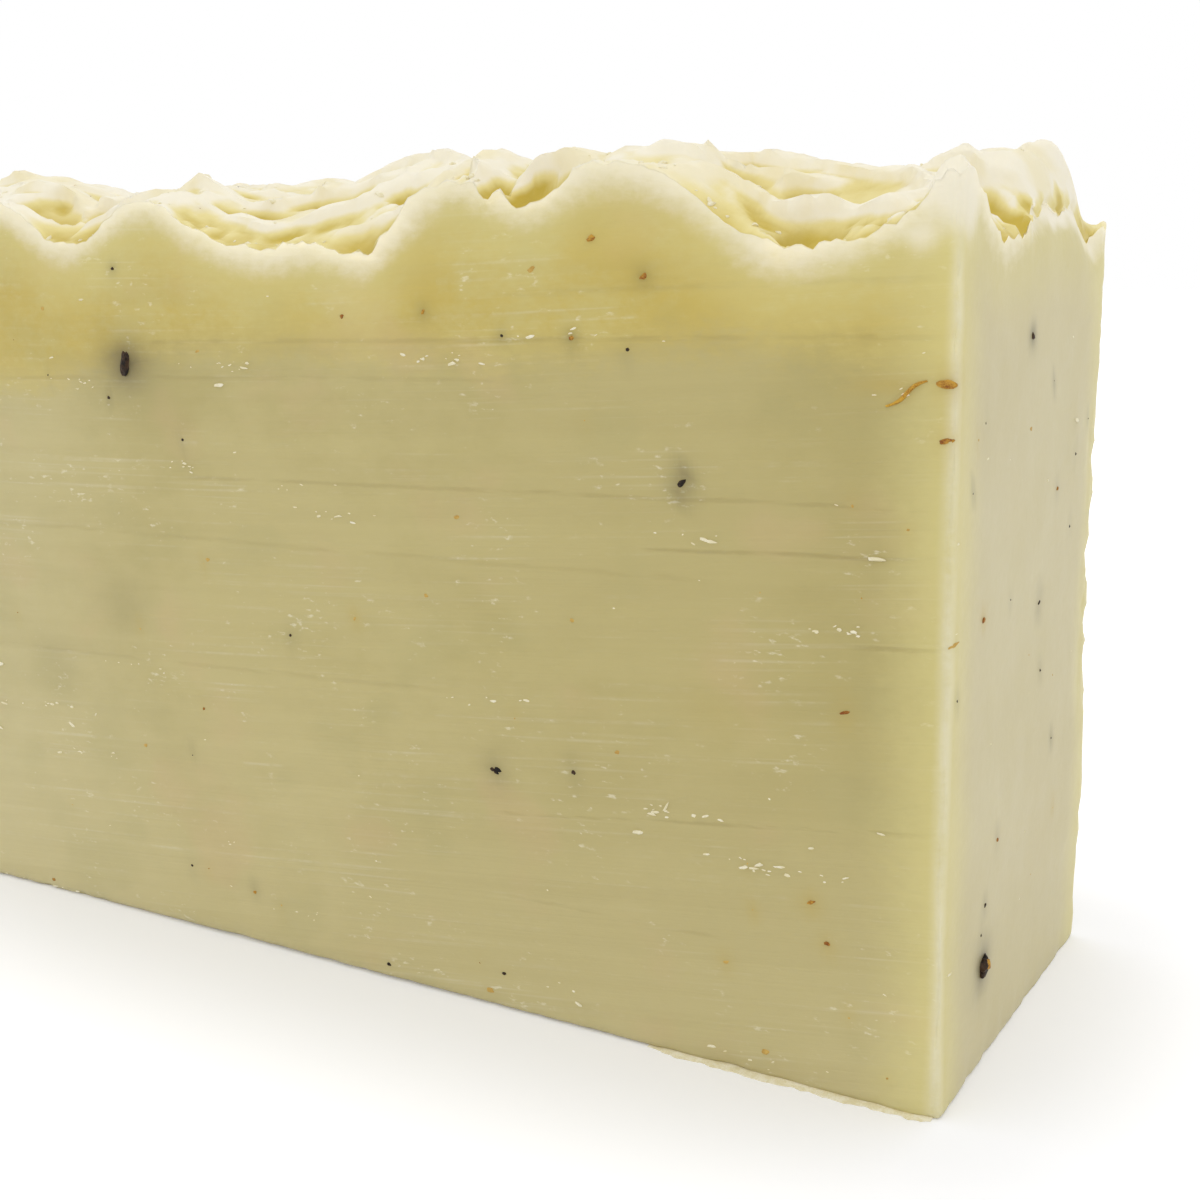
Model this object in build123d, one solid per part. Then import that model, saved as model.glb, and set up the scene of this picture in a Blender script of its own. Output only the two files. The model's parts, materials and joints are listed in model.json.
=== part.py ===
from build123d import *

import os
from dataclasses import dataclass
from math import ceil, exp

# A hand-cut bar of cold-process soap with a rough, spooned top. It is one casting: the soap
# sets in a loaf mould, and a blade cuts the loaf into slices.
#
# Frame: millimetres. +X runs along the bar between the two mould walls, +Y from the front cut
# face to the back one, and +Z is up. The origin is the middle of the base, which rests flat.

# Overall sizes
BAR_LENGTH = 90.0           # between the two mould walls, the bar's two ends
BAR_THICKNESS = 32.0        # between the two blade cuts, the bar's front and back
SHOULDER_HEIGHT = 54.4      # base to the level at which the soap met the walls
CROWN_RISE = 3.1            # how far the middle of the top stands above the shoulder

# Edges
END_EDGE_RADIUS = 0.5       # the four upright corners
BASE_EDGE_RADIUS = 0.4      # round the foot of the bar

# The top is a smooth surface through a grid of points
TOP_GRID_STEP = 1.5
TOP_GRID_MARGIN = 3.0       # how far the surface runs past the block on every side
SURFACE_TOLERANCE = 0.02
SURFACE_DEGREE = 3

BLANK_HEADROOM = 12.0       # how far the slice stands above the crown before it is shaped

# Worked out from these
BLANK_HEIGHT = SHOULDER_HEIGHT + CROWN_RISE + BLANK_HEADROOM
BACK_FACE = BAR_THICKNESS   # as a distance back from the front cut face
LEFT_END = BAR_LENGTH       # as a distance in from the right end


@dataclass(frozen=True)
class Swell:
    """A rise, or a hollow where rise is below zero, that the spoon left in the top."""

    from_right: float       # its middle, in from the right end
    from_front: float       # its middle, back from the front cut face
    rise: float
    reach_x: float          # half its width along the bar, to where it has nearly died away
    reach_y: float

    def height_at(self, x, y):
        """Its share of the top's height at a point given from the right end and the front."""
        across = (x - self.from_right) / self.reach_x
        back = (y - self.from_front) / self.reach_y
        return self.rise * exp(-(across**2 + back**2) ** 1.5)


FRONT_RIM = [
    Swell(78.5, 1.0, 1.9, 4.6, 7.0),
    Swell(69.5, 0.0, -1.3, 3.6, 5.5),
    Swell(61.8, 0.0, 1.5, 4.2, 8.0),
    Swell(49.0, 0.0, -1.9, 8.0, 9.0),
    Swell(41.0, 0.0, -1.5, 3.4, 4.5),
    Swell(34.4, 2.5, 1.8, 3.8, 9.5),
    Swell(22.2, 1.0, 2.4, 7.0, 8.0),
    Swell(9.6, 0.0, -2.8, 6.4, 9.0),
]

RIGHT_END = [
    Swell(0.0, 0.0, 1.6, 2.0, 3.0),
    Swell(0.0, 9.8, -4.6, 4.4, 5.4),
    Swell(2.8, 19.5, 1.2, 5.8, 6.8),
]

MIDDLE = [
    Swell(12.0, 18.0, -0.5, 5.0, 7.0),
    Swell(21.5, 17.0, -0.6, 2.5, 6.0),
    Swell(26.5, 13.0, 0.6, 5.0, 6.0),
    Swell(42.5, 14.0, 1.9, 8.0, 8.0),
    Swell(56.0, 12.0, -0.7, 4.5, 5.0),
    Swell(64.0, 19.0, 0.9, 9.0, 7.0),
    Swell(74.0, 13.0, -0.5, 3.5, 5.0),
]

LEFT_END_SWELLS = [
    Swell(LEFT_END - 3.0, 14.0, 2.1, 8.0, 8.0),
    Swell(LEFT_END, 2.0, -1.4, 4.0, 6.0),
    Swell(LEFT_END, BACK_FACE - 5.0, -1.6, 6.0, 5.0),
]

BACK_RIM = [
    Swell(12.0, BACK_FACE, 1.6, 6.0, 7.0),
    Swell(24.0, BACK_FACE, -1.8, 6.5, 6.0),
    Swell(36.0, BACK_FACE, 1.5, 6.5, 8.0),
    Swell(50.0, BACK_FACE, -1.4, 7.5, 6.5),
    Swell(62.0, BACK_FACE, 1.9, 6.0, 7.0),
    Swell(74.0, BACK_FACE, -1.2, 6.0, 7.0),
]

SWELLS = FRONT_RIM + RIGHT_END + MIDDLE + LEFT_END_SWELLS + BACK_RIM


def crown_at(from_front):
    """The broad arch of the top across the bar, level with the shoulder at both cuts."""
    half = BAR_THICKNESS / 2
    off_middle = (from_front - half) / half
    return CROWN_RISE * max(0.0, 1 - off_middle**2)


def top_height(x, y):
    """The height of the top over a point of the base."""
    from_right = BAR_LENGTH / 2 - x
    from_front = y + BAR_THICKNESS / 2
    swells = sum(swell.height_at(from_right, from_front) for swell in SWELLS)
    return SHOULDER_HEIGHT + crown_at(from_front) + swells


def grid_line(width):
    """Evenly spaced places across a width and its margins, near the grid step apart."""
    span = width + 2 * TOP_GRID_MARGIN
    gaps = ceil(span / TOP_GRID_STEP)
    return [span * (i / gaps - 0.5) for i in range(gaps + 1)]


def make_top_surface():
    """The spooned top as one smooth face, a little larger than the bar."""
    rows = grid_line(BAR_THICKNESS)
    points = [[Vector(x, y, top_height(x, y)) for y in rows] for x in grid_line(BAR_LENGTH)]
    return Face.make_surface_from_array_of_points(
        points, tol=SURFACE_TOLERANCE, min_deg=SURFACE_DEGREE, max_deg=SURFACE_DEGREE
    )


def make_block():
    """The slice before its top is shaped, with its upright corners and foot eased."""
    foot = (Align.CENTER, Align.CENTER, Align.MIN)
    block = Box(BAR_LENGTH, BAR_THICKNESS, BLANK_HEIGHT, align=foot)
    block = fillet(block.edges().filter_by(Axis.Z), END_EDGE_RADIUS)
    return fillet(block.faces().sort_by(Axis.Z)[0].edges(), BASE_EDGE_RADIUS)


def make_soap_bar():
    """The finished bar: the block, kept where it lies under the spooned top."""
    below_top = Solid.extrude(make_top_surface(), Vector(0, 0, -2 * BLANK_HEIGHT))
    bar = (make_block() & below_top).solids()[0]
    bar.label = "soap_bar"
    return bar


os.makedirs("parts", exist_ok=True)
export_step(make_soap_bar(), "parts/soap_bar.step")
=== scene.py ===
"""A hand-cut bar of cold-process soap with a rough, spooned top, dressed around its CAD solid.

The bar stands on its base. Its front and back were cut by a blade, its two ends and its base
were moulded, and its top was worked with a spoon while the soap was soft.
"""

import json
import logging
import math
import random
from dataclasses import dataclass, field
from enum import Enum

import bpy
import numpy as np
from mathutils import Matrix, Vector, noise
from mathutils.bvhtree import BVHTree

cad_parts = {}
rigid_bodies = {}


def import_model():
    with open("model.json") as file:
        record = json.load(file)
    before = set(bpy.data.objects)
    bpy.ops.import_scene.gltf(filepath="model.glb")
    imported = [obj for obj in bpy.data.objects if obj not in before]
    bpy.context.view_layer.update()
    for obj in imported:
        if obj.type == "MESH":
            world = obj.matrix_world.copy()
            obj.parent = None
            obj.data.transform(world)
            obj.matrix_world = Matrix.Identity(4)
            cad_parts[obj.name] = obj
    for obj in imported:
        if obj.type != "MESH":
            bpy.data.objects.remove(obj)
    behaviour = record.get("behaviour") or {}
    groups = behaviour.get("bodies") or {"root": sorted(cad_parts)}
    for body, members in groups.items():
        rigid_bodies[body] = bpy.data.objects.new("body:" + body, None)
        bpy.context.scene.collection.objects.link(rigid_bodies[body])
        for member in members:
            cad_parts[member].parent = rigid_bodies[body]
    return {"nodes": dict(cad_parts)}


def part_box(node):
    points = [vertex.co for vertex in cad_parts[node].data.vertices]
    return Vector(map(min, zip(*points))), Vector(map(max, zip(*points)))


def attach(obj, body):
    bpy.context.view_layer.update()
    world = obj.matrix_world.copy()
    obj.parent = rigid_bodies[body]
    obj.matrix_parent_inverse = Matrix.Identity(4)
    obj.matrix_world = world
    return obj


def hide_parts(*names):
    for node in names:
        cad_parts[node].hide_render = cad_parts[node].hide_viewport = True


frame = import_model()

LOG = logging.getLogger("soap")
MM = 0.001
BAR_NODE = "soap_bar"
BODY = "root"
BAKE_MAP = "OFBake"

Colour = tuple[float, float, float, float]
Socket = bpy.types.NodeSocket
Marks = dict[str, np.ndarray]


class Side(Enum):
    """The sides of the bar that show, each by its outward direction."""

    FRONT = (0, -1, 0)
    BACK = (0, 1, 0)
    RIGHT = (1, 0, 0)
    LEFT = (-1, 0, 0)
    TOP = (0, 0, 1)


class Grain(Enum):
    """The kinds of plant matter set in the soap."""

    SEED = "seed"
    HUSK = "husk"
    PETAL = "petal"


def deselect_all() -> None:
    """Leaves nothing selected, the CAD nodes included."""
    for ob in bpy.context.view_layer.objects:
        ob.select_set(False)


def make_active(ob: bpy.types.Object) -> None:
    """Selects one object alone and makes it the active one.

    Args:
        ob: The object.
    """
    deselect_all()
    ob.select_set(True)
    bpy.context.view_layer.objects.active = ob


def read_points(ob: bpy.types.Object) -> np.ndarray:
    """Reads a mesh's vertex places.

    Args:
        ob: The mesh's object.

    Returns:
        Rows of x, y, z in metres.
    """
    flat = np.zeros(len(ob.data.vertices) * 3)
    ob.data.vertices.foreach_get("co", flat)
    return flat.reshape(-1, 3)


def write_points(ob: bpy.types.Object, points: np.ndarray) -> None:
    """Moves a mesh's vertices to an array of rows x, y, z, in metres."""
    ob.data.vertices.foreach_set("co", points.astype(np.float32).ravel())
    ob.data.update()


def divide(ob: bpy.types.Object, axis: int, count: int) -> None:
    """Divides every edge that runs along one axis.

    Args:
        ob: The object, a box or a rod along the axes.
        axis: 0, 1 or 2.
        count: How many equal parts each edge becomes.
    """
    points = read_points(ob)
    ends = np.zeros(len(ob.data.edges) * 2, dtype=int)
    ob.data.edges.foreach_get("vertices", ends)
    ends = ends.reshape(-1, 2)
    run = np.abs(points[ends[:, 0]] - points[ends[:, 1]])
    chosen = run.argmax(axis=1) == axis
    make_active(ob)
    bpy.ops.object.mode_set(mode="EDIT")
    bpy.ops.mesh.select_mode(type="EDGE")
    bpy.ops.mesh.select_all(action="DESELECT")
    bpy.ops.object.mode_set(mode="OBJECT")
    ob.data.edges.foreach_set("select", chosen)
    bpy.ops.object.mode_set(mode="EDIT")
    bpy.ops.mesh.subdivide(number_cuts=count - 1, quadcorner="PATH")
    bpy.ops.object.mode_set(mode="OBJECT")


def ease(value: np.ndarray, low: float, high: float) -> np.ndarray:
    """A smooth step from 0 at low to 1 at high.

    Args:
        value: What is stepped.
        low: Where the step starts.
        high: Where the step ends, which may lie below low.

    Returns:
        The step's height at each value.
    """
    t = np.clip((value - low) / (high - low), 0.0, 1.0)
    return t * t * (3.0 - 2.0 * t)


def lumps(points: np.ndarray, size: float, seed: float) -> np.ndarray:
    """Smooth random values from about -1 to 1 over space.

    Args:
        points: Rows of x, y, z in millimetres.
        size: The lumps' size in millimetres.
        seed: Picks one pattern among many.

    Returns:
        One value a row.
    """
    shift = Vector((seed * 17.3, seed * -9.1, seed * 5.7))
    return np.array([noise.noise(Vector(p) / size + shift) for p in points]) * 1.6


def level_lumps(x: np.ndarray, y: np.ndarray, size: float, seed: float) -> np.ndarray:
    """Smooth random values from about -1 to 1 over a level grid, as lumps gives over space."""
    spots = np.column_stack([x.ravel(), y.ravel(), np.zeros(x.size)])
    return lumps(spots, size, seed).reshape(x.shape)


def smooth(ob: bpy.types.Object, degrees: float) -> None:
    """Shades a piece smooth, with edges sharper than an angle left crisp."""
    make_active(ob)
    bpy.ops.object.shade_smooth_by_angle(angle=math.radians(degrees))


# ----------------------------------------------------------------------------------------------
# The spooned top


@dataclass(frozen=True)
class Fold:
    """A lip of soap that the spoon pushed up: steep on the front side, gentle behind.

    Places are millimetres in from the right end and back from the front cut.
    """

    from_right: float
    from_front: float
    length: float
    turn: float
    rise: float
    steep: float = 0.7
    gentle: float = 2.4
    bow: float = 0.0

    def raise_at(self, x: np.ndarray, y: np.ndarray) -> np.ndarray:
        """The lip's height over each point.

        Args:
            x: Millimetres in from the right end.
            y: Millimetres back from the front cut.

        Returns:
            Millimetres to add to the top.
        """
        turn = math.radians(self.turn)
        dx, dy = x - self.from_right, y - self.from_front
        along = (dx * math.cos(turn) + dy * math.sin(turn)) / (self.length / 2)
        across = dy * math.cos(turn) - dx * math.sin(turn) - self.bow * (1 - along**2)
        width = np.where(across > 0, self.gentle, self.steep)
        fade = np.clip(1 - along**2, 0, 1) ** 0.8
        return self.rise * fade * np.exp(-((across / width) ** 2))


@dataclass(frozen=True)
class Scoop:
    """A hollow with a crisp lip, where the spoon lifted soap away.

    Places are millimetres in from the right end and back from the front cut.
    """

    from_right: float
    from_front: float
    reach_x: float
    reach_y: float
    turn: float
    depth: float

    def sink_at(self, x: np.ndarray, y: np.ndarray) -> np.ndarray:
        """The hollow's depth over each point.

        Args:
            x: Millimetres in from the right end.
            y: Millimetres back from the front cut.

        Returns:
            Millimetres to take from the top.
        """
        turn = math.radians(self.turn)
        dx, dy = x - self.from_right, y - self.from_front
        u = (dx * math.cos(turn) + dy * math.sin(turn)) / self.reach_x
        v = (dy * math.cos(turn) - dx * math.sin(turn)) / self.reach_y
        return self.depth * np.clip(1 - u**2 - v**2, 0, 1) ** 0.75


@dataclass
class SpoonedTop:
    """The rough top: the CAD solid's broad swells, with folds, scoops and crumbs worked in.

    Sizes are millimetres. Wander bends the folds' and scoops' outlines. Levelling is the share
    of their average that is taken out again, so that the top keeps the solid's own height. The
    end step sinks the rim along the right end, so that the lump by it stands back. A near and a
    far depth say how deep a pit and a broad hollow are when they count in full.
    """

    length: float
    thickness: float
    seed: int = 11
    wander: float = 0.75
    crumb_rise: float = 0.2
    chunk_rise: float = 0.26
    levelling: float = 0.8
    end_step: float = 2.9
    rear_drop: float = 1.1
    edge_inset: float = 0.8
    near_depth: float = 0.75
    far_depth: float = 1.3
    loose_folds: int = 58
    loose_scoops: int = 42
    folds: list[Fold] = field(default_factory=lambda: [
        Fold(81.0, 6.0, 15.0, 4.0, 1.0, 0.6, 2.6),
        Fold(67.0, 3.4, 9.0, -24.0, 1.1, 0.5, 1.8, 0.6),
        Fold(60.0, 5.5, 8.0, 30.0, 0.8, 0.6, 2.0),
        Fold(56.0, 9.0, 17.0, -4.0, 0.9, 0.45, 2.4, 0.8),
        Fold(50.0, 4.6, 15.0, -13.0, 1.0, 0.5, 2.2, -0.6),
        Fold(46.5, 12.6, 14.0, 8.0, 0.9, 0.5, 2.2),
        Fold(42.0, 3.0, 7.0, -20.0, 0.8, 0.5, 1.6),
        Fold(33.5, 3.4, 7.0, 62.0, 1.1, 0.6, 2.0),
        Fold(29.4, 9.0, 8.0, 3.0, 1.0, 0.5, 2.6),
        Fold(17.6, 5.2, 11.0, -26.0, 0.9, 0.6, 1.6, 0.6),
        Fold(13.0, 9.6, 14.0, 4.0, 1.0, 0.45, 2.4, 0.7),
        Fold(8.4, 3.4, 8.0, 9.0, 1.2, 0.4, 1.8, 0.4),
        Fold(4.2, 7.4, 9.0, 38.0, 1.0, 0.6, 1.8),
        Fold(4.5, 14.2, 10.0, -6.0, 1.0, 0.5, 3.0),
        Fold(14.0, 0.8, 10.0, 0.0, 0.8, 1.5, 1.6),
        Fold(27.2, 2.2, 5.4, 0.0, 1.5, 0.35, 3.0),
        Fold(2.4, 21.5, 15.0, 90.0, 1.0, 2.4, 2.4),
        Fold(2.0, 25.0, 8.0, 90.0, 2.0, 2.4, 2.4),
        Fold(0.9, 0.7, 3.0, 0.0, 1.1, 0.9, 0.9),
        Fold(12.6, 3.4, 10.5, 3.0, 1.5, 1.0, 1.1, 0.5),
        Fold(2.5, 10.6, 5.0, 0.0, 1.6, 2.2, 2.6),
    ])
    scoops: list[Scoop] = field(default_factory=lambda: [
        Scoop(75.6, 3.4, 3.2, 2.0, -12.0, 1.5),
        Scoop(70.6, 4.6, 2.2, 1.3, -30.0, 1.3),
        Scoop(57.0, 5.4, 4.4, 1.3, -6.0, 0.9),
        Scoop(49.0, 8.0, 5.0, 1.2, -10.0, 0.9),
        Scoop(40.6, 1.4, 1.5, 1.2, 0.0, 1.3),
        Scoop(31.2, 1.5, 1.5, 1.4, 20.0, 1.5),
        Scoop(34.0, 2.2, 0.8, 0.7, 0.0, 0.9),
        Scoop(27.4, 0.4, 2.7, 1.6, 0.0, 1.5),
        Scoop(16.0, 6.6, 2.8, 1.3, -14.0, 1.3),
        Scoop(11.4, 6.8, 1.8, 1.1, 12.0, 0.9),
        Scoop(10.6, 1.2, 1.5, 1.0, 4.0, 1.6),
        Scoop(7.9, 2.0, 0.7, 0.6, 0.0, 0.9),
        Scoop(4.4, 2.4, 1.0, 0.8, 0.0, 0.9),
        Scoop(3.4, 11.6, 2.8, 1.6, 0.0, 1.5),
        Scoop(1.4, 6.8, 2.6, 2.0, 30.0, 0.5),
        Scoop(0.6, 10.6, 2.4, 1.5, 70.0, 0.5),
        Scoop(0.8, 13.2, 1.6, 0.8, 80.0, 0.5),
    ])

    def __post_init__(self) -> None:
        """Adds the loose folds and scoops that cover the rest of the top."""
        draw = random.Random(self.seed)
        for _ in range(self.loose_folds):
            self.folds.append(Fold(
                draw.uniform(0, self.length), draw.uniform(6, self.thickness),
                draw.uniform(3, 11), draw.gauss(0, 26), draw.uniform(0.3, 0.9),
                draw.uniform(0.3, 0.6), draw.uniform(0.7, 2.0), draw.uniform(-0.8, 0.8),
            ))
        for _ in range(self.loose_scoops):
            self.scoops.append(Scoop(
                draw.uniform(0, self.length), draw.uniform(6, self.thickness),
                draw.uniform(0.6, 2.4), draw.uniform(0.5, 1.2), draw.gauss(0, 30),
                draw.uniform(0.3, 1.1),
            ))

    def swells(self, x: np.ndarray, y: np.ndarray) -> np.ndarray:
        """The CAD solid's own top, read from its mesh.

        Args:
            x: Millimetres along the bar for each grid point, columns first.
            y: Millimetres through the bar for each grid point.

        Returns:
            The heights in millimetres, with the mesh's facets smoothed away.
        """
        node = frame["nodes"][BAR_NODE]
        tree = BVHTree.FromPolygons(
            [v.co.copy() for v in node.data.vertices],
            [tuple(p.vertices) for p in node.data.polygons],
        )
        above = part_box(BAR_NODE)[1].z + 0.01
        half_x, half_y = self.length / 2 - self.edge_inset, self.thickness / 2 - self.edge_inset
        xs, ys = np.clip(x, -half_x, half_x), np.clip(y, -half_y, half_y)
        down = Vector((0, 0, -1))
        found = [
            tree.ray_cast(Vector((a * MM, b * MM, above)), down)[0].z / MM
            for a, b in zip(xs.ravel(), ys.ravel())
        ]
        return self.blur(np.array(found).reshape(x.shape), 3)

    @staticmethod
    def blur(grid: np.ndarray, times: int) -> np.ndarray:
        """Averages each grid point with its neighbours.

        Args:
            grid: The values.
            times: How often they are averaged.

        Returns:
            The smoothed values.
        """
        for _ in range(times):
            wide = np.pad(grid, 1, mode="edge")
            grid = (wide[:-2, 1:-1] + wide[2:, 1:-1] + wide[1:-1, :-2] + wide[1:-1, 2:]
                    + 2 * wide[1:-1, 1:-1]) / 6
        return grid

    def heights(self, x: np.ndarray, y: np.ndarray) -> tuple[np.ndarray, np.ndarray]:
        """The finished top over a grid.

        Args:
            x: Millimetres along the bar for each grid point, columns first.
            y: Millimetres through the bar for each grid point.

        Returns:
            The heights in millimetres, and how far each point lies in a hollow, from -1 on a
            crest to 1 in a pit.
        """
        drift_x = level_lumps(x, y, 5.0, 1) + 0.5 * level_lumps(x, y, 2.2, 2)
        drift_y = level_lumps(x, y, 5.0, 3) + 0.5 * level_lumps(x, y, 2.2, 4)
        right, fore = self.length / 2 - x, self.thickness / 2 + y
        from_right, from_front = right + self.wander * drift_x, fore + self.wander * drift_y
        worked = sum(fold.raise_at(from_right, from_front) for fold in self.folds)
        worked = worked - sum(scoop.sink_at(from_right, from_front) for scoop in self.scoops)
        tall = self.swells(x, y) + worked - self.levelling * self.blur(worked, 400)

        step = ease(fore, 13.5, 17) * ease(fore, 31, 27) * np.exp(-(right**2))
        rear = ease(fore, 8, 17) * (0.45 + 0.55 * ease(right, 62, 36))
        tall = tall - self.end_step * step - self.rear_drop * rear

        crumbly = ease(level_lumps(x, y, 7.0, 5), -0.2, 0.7)
        grain = level_lumps(x, y, 1.6, 6) + 0.7 * level_lumps(x, y, 0.8, 7)
        chunk = 1 - 2 * np.abs(level_lumps(0.8 * x, y, 3.4, 8))
        tall = tall + self.crumb_rise * grain * (0.25 + crumbly) + self.chunk_rise * chunk

        # How far each point lies in a hollow, which the soap's finish turns into painted shade.
        near, far = self.blur(tall, 12) - tall, self.blur(tall, 120) - tall
        hollow = near / self.near_depth + far / self.far_depth - 1.3 * step
        return tall, np.clip(hollow, -1, 1)


# ----------------------------------------------------------------------------------------------
# Finishes


def paint(red: int, green: int, blue: int) -> Colour:
    """Makes a colour for a shader from its screen values, 0 to 255.

    Args:
        red: The red value.
        green: The green value.
        blue: The blue value.

    Returns:
        The colour in linear values.
    """
    def linear(value: int) -> float:
        """One screen value made linear."""
        share = value / 255
        return share / 12.92 if share <= 0.04045 else ((share + 0.055) / 1.055) ** 2.4
    return (linear(red), linear(green), linear(blue), 1.0)


class NodeBook:
    """Adds nodes to one tree and joins them up."""

    def __init__(self, tree: bpy.types.NodeTree) -> None:
        """Opens a tree to write in."""
        self.tree = tree

    def add(self, kind: str, **settings: object) -> bpy.types.Node:
        """Adds a node.

        Args:
            kind: The node's type, such as ShaderNodeTexNoise.
            settings: The node's own properties.

        Returns:
            The new node.
        """
        node = self.tree.nodes.new(kind)
        for name, value in settings.items():
            setattr(node, name, value)
        return node

    def feed(self, socket: Socket, source: object) -> None:
        """Links a socket to another node's output, or sets its value.

        Args:
            socket: The socket.
            source: The output, or the value.
        """
        if isinstance(source, Socket):
            self.tree.links.new(source, socket)
        else:
            socket.default_value = source

    def calc(self, operation: str, a: object, b: object = 0.0, c: object = 0.0,
             clamp: bool = False) -> Socket:
        """A Math node.

        Args:
            operation: What it works out, such as MULTIPLY.
            a: The first value or socket.
            b: The second.
            c: The third, where the operation has one.
            clamp: Whether the result is held between 0 and 1.

        Returns:
            The result's socket.
        """
        node = self.add("ShaderNodeMath", operation=operation, use_clamp=clamp)
        for socket, source in zip(node.inputs, (a, b, c)):
            self.feed(socket, source)
        return node.outputs[0]

    def step(self, value: object, low: float, high: float) -> Socket:
        """A smooth step, as a Map Range node.

        Args:
            value: What is stepped.
            low: Where the step is 0.
            high: Where the step is 1, which may lie below low.

        Returns:
            The step's socket.
        """
        node = self.add("ShaderNodeMapRange", interpolation_type="SMOOTHSTEP")
        self.feed(node.inputs["Value"], value)
        node.inputs["From Min"].default_value = low
        node.inputs["From Max"].default_value = high
        return node.outputs["Result"]

    def mix(self, share: object, a: object, b: object) -> Socket:
        """A colour Mix node.

        Args:
            share: How much of b shows, from 0 to 1.
            a: The colour underneath.
            b: The colour on top.

        Returns:
            The mixed colour's socket.
        """
        node = self.add("ShaderNodeMix", data_type="RGBA")
        self.feed(node.inputs["Factor"], share)
        self.feed(node.inputs["A"], a)
        self.feed(node.inputs["B"], b)
        return node.outputs["Result"]

    def tint(self, under: object, mask: object, amount: float, over: object) -> Socket:
        """Lays one colour over another where a mask is.

        Args:
            under: The colour so far.
            mask: Where the new colour goes.
            amount: How much of it shows at the mask's full strength.
            over: The new colour.

        Returns:
            The colour's socket.
        """
        return self.mix(self.calc("MULTIPLY", mask, amount), under, over)

    def axes(self) -> bpy.types.bpy_prop_collection:
        """Splits the object coordinates.

        Returns:
            Three sockets, named X, Y and Z.
        """
        split = self.add("ShaderNodeSeparateXYZ")
        self.feed(split.inputs[0], self.add("ShaderNodeTexCoord").outputs["Object"])
        return split.outputs

    def bump(self, height: object, strength: float = 1.0) -> Socket:
        """A Bump node's normal.

        Args:
            height: The relief in metres.
            strength: How much of it shows.

        Returns:
            The normal's socket.
        """
        node = self.add("ShaderNodeBump")
        node.inputs["Strength"].default_value = strength
        node.inputs["Distance"].default_value = 1.0
        self.feed(node.inputs["Height"], height)
        return node.outputs["Normal"]

    def place(self, stretch: tuple[float, float, float] = (1, 1, 1)) -> Socket:
        """Stretches the object coordinates.

        Args:
            stretch: How many times along each axis.

        Returns:
            The coordinates' socket.
        """
        where = self.add("ShaderNodeTexCoord").outputs["Object"]
        mapping = self.add("ShaderNodeMapping")
        mapping.inputs["Scale"].default_value = stretch
        self.feed(mapping.inputs["Vector"], where)
        return mapping.outputs["Vector"]

    def clouds(self, where: object, scale: object, detail: float = 2.0,
               rough: float = 0.5) -> Socket:
        """A Noise node's value.

        Args:
            where: The coordinates.
            scale: Lumps to a metre.
            detail: How many finer layers are added.
            rough: How strong the finer layers are.

        Returns:
            The noise value's socket, about 0.5 on average.
        """
        node = self.add("ShaderNodeTexNoise")
        self.feed(node.inputs["Vector"], where)
        self.feed(node.inputs["Scale"], scale)
        node.inputs["Detail"].default_value = detail
        node.inputs["Roughness"].default_value = rough
        return node.outputs["Fac"]

    def read(self, name: str) -> Socket:
        """The value that the mesh holds under a name."""
        return self.add("ShaderNodeAttribute", attribute_name=name).outputs["Fac"]

    def group(self, tree: bpy.types.NodeTree, **values: object) -> bpy.types.Node:
        """Places a node group.

        Args:
            tree: The group.
            values: What its inputs take, with spaces written as underscores.

        Returns:
            The group's node.
        """
        node = self.add("ShaderNodeGroup", node_tree=tree)
        for name, value in values.items():
            self.feed(node.inputs[name.replace("_", " ")], value)
        return node


def new_material(name: str) -> tuple[bpy.types.Material, NodeBook, bpy.types.Node]:
    """Starts a material.

    Args:
        name: Its name.

    Returns:
        The material, the book to write it in, and its Principled shader.
    """
    material = bpy.data.materials.new(name)
    material.use_nodes = True
    tree = material.node_tree
    return material, NodeBook(tree), tree.nodes["Principled BSDF"]


def new_group(name: str, inputs: dict[str, float], outputs: list[str]
              ) -> tuple[NodeBook, dict[str, Socket], bpy.types.Node]:
    """Starts a node group whose sockets are all numbers.

    Args:
        name: The group's name.
        inputs: Each input's name and default.
        outputs: Each output's name.

    Returns:
        The book to write the group in, its inputs by name, and the node its results go to.
    """
    tree = bpy.data.node_groups.new(name, "ShaderNodeTree")
    for label, default in inputs.items():
        socket = tree.interface.new_socket(label, in_out="INPUT", socket_type="NodeSocketFloat")
        socket.default_value = default
    for label in outputs:
        tree.interface.new_socket(label, in_out="OUTPUT", socket_type="NodeSocketFloat")
    book = NodeBook(tree)
    given = book.add("NodeGroupInput")
    result = book.add("NodeGroupOutput")
    return book, {label: given.outputs[label] for label in inputs}, result


def mottle_group() -> bpy.types.NodeTree:
    """Soft uneven tone, as in anything cast by hand: large clouds with finer ones in them.

    Returns:
        The node group.
    """
    book, given, result = new_group("Mottle", {"Scale": 60.0, "Fine share": 0.35}, ["Tone"])
    large = book.clouds(book.place(), given["Scale"], 2.0, 0.5)
    finer = book.calc("MULTIPLY", given["Scale"], 7.0)
    fine = book.clouds(book.place((1, 1, 1.6)), finer, 3.0, 0.6)
    weighed = book.calc("MULTIPLY", book.calc("SUBTRACT", fine, 0.5), given["Fine share"])
    book.feed(result.inputs["Tone"], book.calc("ADD", large, weighed, clamp=True))
    return book.tree


def grain_group() -> bpy.types.NodeTree:
    """A fine waxy grain, for the height of a bump.

    Returns:
        The node group.
    """
    book, given, result = new_group("Waxy grain", {"Scale": 900.0, "Depth": 0.00004}, ["Height"])
    grain = book.clouds(book.place(), given["Scale"], 4.0, 0.6)
    book.feed(result.inputs["Height"], book.calc("MULTIPLY", grain, given["Depth"]))
    return book.tree


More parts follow.
